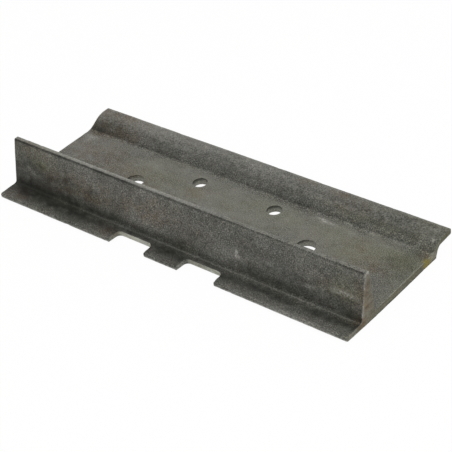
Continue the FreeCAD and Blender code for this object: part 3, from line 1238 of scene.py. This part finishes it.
class Graph:
    """Shader nodes of one material, made one call at a time."""

    def __init__(self, material: bpy.types.Material) -> None:
        """Clear the material's tree."""
        material.use_nodes = True
        self.tree = material.node_tree
        self.tree.nodes.clear()

    @cached_property
    def place(self) -> Socket:
        """Object coordinates, made when a pattern first reads them."""
        return self.tree.nodes.new("ShaderNodeTexCoord").outputs["Object"]

    def put(self, socket: Socket, value: object) -> None:
        """Link a socket to another, or set its number or colour."""
        if isinstance(value, Socket):
            self.tree.links.new(value, socket)
        elif isinstance(value, tuple):
            socket.default_value = (*value, 1.0) if len(value) == 3 else value
        else:
            socket.default_value = value

    def attribute(self, name: str) -> Socket:
        """One of the shoe's point attributes."""
        node = self.tree.nodes.new("ShaderNodeAttribute")
        node.attribute_name = name
        return node.outputs["Fac"]

    def zone(self, zone: Zone, share: float = 1.0) -> Socket:
        """A zone's values, times share."""
        return self.math("MULTIPLY", self.attribute(zone.value), share)

    def bands(self, value: object, stops: Stops
              ) -> Socket:
        """Grey level along a value, straight from each stop (value, level) to the next."""
        node = self.tree.nodes.new("ShaderNodeValToRGB")
        low, high = stops[0][0], stops[-1][0]
        self.put(node.inputs["Fac"], self.span(value, low, high))
        steps = node.color_ramp.elements
        for place, _ in stops[1:-1]:
            steps.new((place - low) / (high - low))
        for step, (_, level) in zip(steps, stops):
            step.color = (level, level, level, 1.0)
        return node.outputs["Color"]

    def math(self, operation: str, one: object, other: object = 0.0,
             clamp: bool = False) -> Socket:
        """Result of one arithmetic operation."""
        node = self.tree.nodes.new("ShaderNodeMath")
        node.operation, node.use_clamp = operation, clamp
        self.put(node.inputs[0], one)
        self.put(node.inputs[1], other)
        return node.outputs[0]

    def noise(self, size: float, detail: float = 3.0, rough: float = 0.6,
              stretch: Triple = (1, 1, 1)) -> Socket:
        """Noise from 0 to 1 whose grains are about size metres wide, longer by stretch."""
        mapping = self.tree.nodes.new("ShaderNodeMapping")
        mapping.inputs["Scale"].default_value = tuple(1 / factor for factor in stretch)
        self.put(mapping.inputs["Vector"], self.place)
        node = self.tree.nodes.new("ShaderNodeTexNoise")
        self.put(node.inputs["Vector"], mapping.outputs[0])
        self.put(node.inputs["Scale"], 1 / size)
        self.put(node.inputs["Detail"], detail)
        self.put(node.inputs["Roughness"], rough)
        return node.outputs["Fac"]

    def span(self, value: object, low: float, high: float, start: float = 0.0,
             end: float = 1.0) -> Socket:
        """Carry a value from low..high to start..end and hold it there beyond."""
        node = self.tree.nodes.new("ShaderNodeMapRange")
        for socket, number in zip(node.inputs[:5], (value, low, high, start, end)):
            self.put(socket, number)
        return node.outputs[0]

    def sway(self, noise: Socket, reach: float) -> Socket:
        """A noise as a value from -reach to reach."""
        return self.span(noise, 0.3, 0.7, -reach, reach)

    def grey(self, value: object) -> Socket:
        """A number as a grey."""
        node = self.tree.nodes.new("ShaderNodeCombineColor")
        for socket in node.inputs:
            self.put(socket, value)
        return node.outputs[0]

    def mix(self, share: object, one: object, other: object,
            blend: str = "MIX") -> Socket:
        """Blend of two colours."""
        node = self.tree.nodes.new("ShaderNodeMix")
        node.data_type, node.blend_type = "RGBA", blend
        self.put(node.inputs["Factor"], share)
        self.put(node.inputs["A"], one)
        self.put(node.inputs["B"], other)
        return node.outputs["Result"]


@dataclass(frozen=True)
class HotRolledSteel:
    """Grey mill scale over steel, with fine speckle, worn edges, sheared faces, light rust,
    painted shade and a painted highlight.

    The lengths from grain to smear are the widths of the noises' grains.
    scale_and_shade_over_girth gives the scale's thickness at each length round the upper face in
    millimetres. It holds painted
    shade: the crease at the lip's foot and the near face's lower part are dark where shade
    falls. It also draws a dark line under the crest's near edge.
    """

    bare_scale: Triple = (0.198, 0.197, 0.176)
    thick_scale_and_shade: Triple = (0.0132, 0.0140, 0.0118)
    worn_and_highlight_steel: Triple = (0.380, 0.374, 0.340)
    cut_steel: Triple = (0.510, 0.520, 0.455)
    sawn_steel: Triple = (0.158, 0.150, 0.119)
    sawn_shade: Triple = (0.080, 0.077, 0.061)
    rust_stain: Triple = (1.05, 0.78, 0.60)
    film: Triple = (0.955, 1.00, 0.75)
    paint: Triple = (0.215, 0.172, 0.028)
    metallic: float = 0.30
    specular: float = 0.25
    grain: float = 1.15 * MM
    dust: float = 0.55 * MM
    blotch: float = 8 * MM
    wander: float = 5 * MM
    cloud: float = 30 * MM
    stain: float = 14 * MM
    thin_rust: float = 11 * MM
    tear: float = 1.3 * MM
    saw_line: float = 1.5 * MM
    chip: float = 2.0 * MM
    seam_gap: float = 9 * MM
    smear: float = 3 * MM
    speckle_ratio: float = 2.4
    under_scale: float = 0.45
    olive_share: float = 0.75
    rust_share: float = 0.9
    seam_highlight_share: float = 0.28
    bump_strength: float = 0.5
    bump_depth: float = 0.12 * MM
    contrast_over_tone: Stops = (
        (0.0, 0.40), (0.25, 0.48), (0.44, 0.90), (0.80, 0.95), (1.0, 0.55))
    scale_and_shade_over_girth: Stops = (
        (0, 0.59), (3, 0.67), (7, 0.80), (11, 0.94), (15, 0.98), (20.5, 0.955), (22.0, 0.93),
        (24, 0.98), (26, 0.98), (29, 0.91), (33, 0.80), (38, 0.72), (47, 0.66), (57, 0.60),
        (67, 0.57), (71.9, 0.58), (72.6, 0.86), (74.2, 0.86), (74.7, 0.24), (78.2, 0.24),
        (79.5, 0.55), (126, 0.62), (131, 0.28), (212, 0.28), (219, 0.37), (223.0, 0.45),
        (223.8, 0.755), (229, 0.71), (236, 0.70), (242, 0.68), (248, 0.50), (256.4, 0.29))

    def material(self) -> bpy.types.Material:
        """The finish as a material."""
        material = bpy.data.materials.new("hot_rolled_steel")
        graph = Graph(material)
        blotch = graph.noise(self.blotch)
        fleck = graph.noise(self.grain, 1.0)
        dust = graph.noise(self.dust, 1.0)
        tone = self.tone(graph, blotch)
        colour = graph.mix(tone, self.bare_scale, self.thick_scale_and_shade)
        colour = self.stained(graph, self.cut(graph, colour, blotch), blotch)

        contrast = graph.bands(tone, self.contrast_over_tone)
        clean = graph.math("MAXIMUM", graph.zone(Zone.SHEARED, 0.7), graph.zone(Zone.BORE_SHADE, 0.6))
        clean = graph.math("MAXIMUM", clean, graph.zone(Zone.SAWN, 0.65))
        contrast = graph.math("MULTIPLY", contrast, graph.math("SUBTRACT", 1.0, clean))
        speckle = graph.span(fleck, 0.32, 0.68, -1.0, 1.0)
        speckle = graph.math("ADD", speckle, graph.sway(dust, 0.32))
        speckle = graph.math("MULTIPLY", speckle, contrast)
        shade = graph.grey(graph.math("POWER", self.speckle_ratio, speckle))
        colour = graph.mix(1.0, colour, shade, "MULTIPLY")
        colour = self.worn(graph, colour)

        rough = graph.span(tone, 0.0, 0.8, 0.48, 0.70)
        rough = graph.math("ADD", rough, graph.sway(blotch, 0.06), clamp=True)
        bump = graph.tree.nodes.new("ShaderNodeBump")
        graph.put(bump.inputs["Height"], speckle)
        graph.put(bump.inputs["Strength"], self.bump_strength)
        graph.put(bump.inputs["Distance"], self.bump_depth)

        shader = graph.tree.nodes.new("ShaderNodeBsdfPrincipled")
        graph.put(shader.inputs["Base Color"], colour)
        graph.put(shader.inputs["Roughness"], rough)
        graph.put(shader.inputs["Metallic"], self.metallic)
        graph.put(shader.inputs["Specular IOR Level"], self.specular)
        graph.put(shader.inputs["Normal"], bump.outputs["Normal"])
        output = graph.tree.nodes.new("ShaderNodeOutputMaterial")
        graph.put(output.inputs["Surface"], shader.outputs["BSDF"])
        return material

    def tone(self, graph: Graph, blotch: Socket) -> Socket:
        """How thick the scale is, with painted shade: its band round the section, which darkens
        the crease at the lip's foot, its own drift, two noises and the bores' painted shade.
        """
        girth = graph.math("DIVIDE", graph.attribute(GIRTH), MM)
        wander = graph.sway(graph.noise(self.wander), 0.3)
        # The band holds painted shade: dark in the crease at the lip's foot and on the near
        # face's lower part.
        band = graph.bands(graph.math("ADD", girth, wander), self.scale_and_shade_over_girth)
        under = graph.math("LESS_THAN", girth, 0.0)
        tone = graph.math("ADD", graph.mix(under, band, graph.grey(self.under_scale)),
                          graph.zone(Zone.SCALE_AND_SHADE))
        cloud = graph.noise(self.cloud, stretch=(1.6, 1, 1))
        tone = graph.math("ADD", tone, graph.sway(cloud, 0.09))
        tone = graph.math("ADD", tone, graph.sway(blotch, 0.07))
        # The bores' painted shade: their walls are darkened where they lie in shadow.
        return graph.math("MAXIMUM", tone, graph.zone(Zone.BORE_SHADE), clamp=True)

    def stained(self, graph: Graph, colour: Socket,
                blotch: Socket) -> Socket:
        """Colour under an olive film and brown rust, each in its spots and thinly elsewhere."""
        stain = graph.noise(self.stain, stretch=(1.5, 1, 1))
        film = graph.math("ADD", graph.zone(Zone.OLIVE, self.olive_share),
                          graph.span(stain, 0.42, 0.62, 0.0, 0.14), clamp=True)
        colour = graph.mix(film, colour, graph.mix(1.0, colour, self.film, "MULTIPLY"))
        rusty = graph.math("MULTIPLY", graph.zone(Zone.RUST, self.rust_share),
                           graph.span(blotch, 0.38, 0.62, 0.25, 1.0))
        brown = graph.span(graph.noise(self.thin_rust), 0.42, 0.62, 0.0, 0.12)
        brown = graph.math("ADD", rusty, brown, clamp=True)
        return graph.mix(brown, colour, graph.mix(1.0, colour, self.rust_stain, "MULTIPLY"))

    def cut(self, graph: Graph, colour: Socket,
            blotch: Socket) -> Socket:
        """Colour with the sheared notches and the duller sawn ends, both drawn out in streaks."""
        streak = graph.span(graph.noise(self.tear, 2.0, stretch=(8, 1, 1)), 0.3, 0.7, 0.0, 0.7)
        bright = graph.mix(streak, self.cut_steel, self.bare_scale)
        colour = graph.mix(graph.zone(Zone.SHEARED), colour, bright)
        lines = graph.noise(self.saw_line, 2.0, stretch=(1, 14, 1))
        line = graph.span(lines, 0.3, 0.7, -0.35, 0.55)
        grime = graph.math("ADD", graph.span(blotch, 0.35, 0.65, 0.0, 0.30), line, clamp=True)
        sawn = graph.mix(grime, self.sawn_steel, self.sawn_shade)
        # The scale zone also darkens the sawn ends, with its painted shade along the right end's
        # bottom edge.
        crust_and_shade = graph.math("MULTIPLY", graph.zone(Zone.SCALE_AND_SHADE), 1.0, clamp=True)
        sawn = graph.mix(crust_and_shade, sawn, self.thick_scale_and_shade)
        return graph.mix(graph.zone(Zone.SAWN), colour, sawn)

    def worn(self, graph: Graph, colour: Socket) -> Socket:
        """Colour with worn edges and scuffs, the seam's painted highlight as a light line, and
        the smear of paint.
        """
        broken = graph.span(graph.noise(self.chip, rough=0.7), 0.40, 0.62, 0.15, 1.0)
        worn = graph.math("MULTIPLY", graph.zone(Zone.WEAR), broken)
        # The seam's light line is a painted highlight on its ridge, joined to the wear.
        gaps = graph.noise(self.seam_gap, rough=0.7, stretch=(2, 1, 1))
        come_and_go = graph.span(gaps, 0.35, 0.6, 0.3, 1.0)
        seam = graph.math("MULTIPLY", graph.zone(Zone.SEAM_HIGHLIGHT, self.seam_highlight_share), come_and_go)
        worn = graph.math("MAXIMUM", worn, seam, clamp=True)
        colour = graph.mix(worn, colour, self.worn_and_highlight_steel)
        smear = graph.span(graph.noise(self.smear, rough=0.7), 0.3, 0.7, 0.3, 1.4)
        smear = graph.math("MULTIPLY", graph.zone(Zone.PAINT), smear)
        return graph.mix(graph.span(smear, 0.25, 0.65, 0.0, 0.8), colour, self.paint)


# --- Studio ------------------------------------------------------------------------------


@dataclass(frozen=True)
class Lamp:
    """A square soft lamp, aimed at the middle of the shoe."""

    name: str
    place: Triple
    size: float
    watts: float

    def hang(self) -> None:
        """Add the lamp to the scene."""
        data = bpy.data.lights.new(self.name, "AREA")
        data.size, data.energy = self.size, self.watts
        lamp = bpy.data.objects.new(self.name, data)
        lamp.location = self.place
        lamp.rotation_euler = Vector(self.place).to_track_quat("Z", "Y").to_euler()
        bpy.context.scene.collection.objects.link(lamp)


@dataclass(frozen=True)
class Studio:
    """A pale floor, a white surround and soft lamps."""

    floor_radius: float = 6.0
    floor_sides: int = 64
    floor_drop: float = 0.2 * MM
    floor_colour: Triple = (0.94, 0.94, 0.94)
    floor_glow: float = 0.96
    surround: float = 0.70
    lamps: tuple[Lamp, ...] = (
        Lamp("key", (1.3, -0.3, 2.2), 1.2, 18.0),
        Lamp("fill", (-1.6, -1.8, 1.8), 1.6, 7.0),
    )

    def seen(self, graph: Graph) -> Socket:
        """1 for camera, glossy and transmission rays, and 0 for the rest."""
        path = graph.tree.nodes.new("ShaderNodeLightPath")
        sight = graph.math("ADD", path.outputs["Is Camera Ray"], path.outputs["Is Glossy Ray"])
        return graph.math("ADD", sight, path.outputs["Is Transmission Ray"], clamp=True)

    def floor(self) -> bpy.types.Object:
        """A round pale floor just under the shoe, glowing for the eye but not for the light."""
        angle = np.linspace(0, 2 * math.pi, self.floor_sides, endpoint=False)
        ring = np.stack([np.cos(angle), np.sin(angle), 0 * angle], 1) * self.floor_radius
        ring[:, 2] = -self.floor_drop
        mesh = bpy.data.meshes.new("floor")
        mesh.from_pydata(ring.tolist(), [], [list(range(self.floor_sides))])
        material = bpy.data.materials.new("pale_floor")
        graph = Graph(material)
        nodes = graph.tree.nodes
        matt, glow = nodes.new("ShaderNodeBsdfDiffuse"), nodes.new("ShaderNodeEmission")
        graph.put(matt.inputs["Color"], self.floor_colour)
        blend, output = nodes.new("ShaderNodeMixShader"), nodes.new("ShaderNodeOutputMaterial")
        share = graph.math("MULTIPLY", self.seen(graph), self.floor_glow)
        for socket, value in zip(blend.inputs, (share, matt.outputs[0], glow.outputs[0])):
            graph.put(socket, value)
        graph.put(output.inputs["Surface"], blend.outputs[0])
        mesh.materials.append(material)
        floor = bpy.data.objects.new("floor", mesh)
        bpy.context.scene.collection.objects.link(floor)
        return floor

    def light(self) -> None:
        """White surround for the eye, softer for the light that it gives, and the lamps."""
        world = bpy.data.worlds.new("surround")
        graph = Graph(world)
        nodes = graph.tree.nodes
        sky, output = nodes.new("ShaderNodeBackground"), nodes.new("ShaderNodeOutputWorld")
        graph.put(sky.inputs["Color"], (1.0, 1.0, 1.0))
        graph.put(sky.inputs["Strength"], graph.span(self.seen(graph), 0, 1, self.surround, 1.0))
        graph.put(output.inputs["Surface"], sky.outputs[0])
        bpy.context.scene.world = world
        for lamp in self.lamps:
            lamp.hang()


@dataclass(frozen=True)
class ViewPoint:
    """The camera's bearing, height and roll in degrees, its place and its lens."""

    azimuth: float = 43.57
    elevation: float = 35.71
    roll: float = 7.79
    place: Triple = (0.8650, -0.8952, 0.8857)
    lens: float = 119.92
    sensor: float = 36.0

    def set(self) -> None:
        """Create the camera and make it the scene's own."""
        azimuth, elevation, roll = np.radians((self.azimuth, self.elevation, self.roll))
        back = np.array([math.sin(azimuth) * math.cos(elevation),
                         -math.cos(azimuth) * math.cos(elevation), math.sin(elevation)])
        level = np.array([math.cos(azimuth), math.sin(azimuth), 0.0])
        right = level * math.cos(roll) - np.cross(back, level) * math.sin(roll)
        turn = Matrix(np.stack([right, np.cross(back, right), back], 1)).to_4x4()
        data = bpy.data.cameras.new("camera")
        data.lens, data.sensor_width = self.lens, self.sensor
        camera = bpy.data.objects.new("camera", data)
        camera.matrix_world = Matrix.Translation(self.place) @ turn
        bpy.context.scene.collection.objects.link(camera)
        bpy.context.scene.camera = camera


def main() -> None:
    """Set the view and the studio, then build, weather and finish the shoe."""
    bpy.context.scene.view_settings.view_transform = "Standard"
    ViewPoint().set()
    studio = Studio()
    studio.floor()
    studio.light()
    shoe = TrackShoe(punched_holes(frame["record"]))
    relief = RolledRelief()
    body = shoe.build(relief, SurfaceHistory(), HotRolledSteel().material())
    LOG.info("%s: %d faces, rides on root", body.name, len(body.data.polygons))


if __name__ == "__main__":
    logging.basicConfig(level=logging.INFO)
    main()
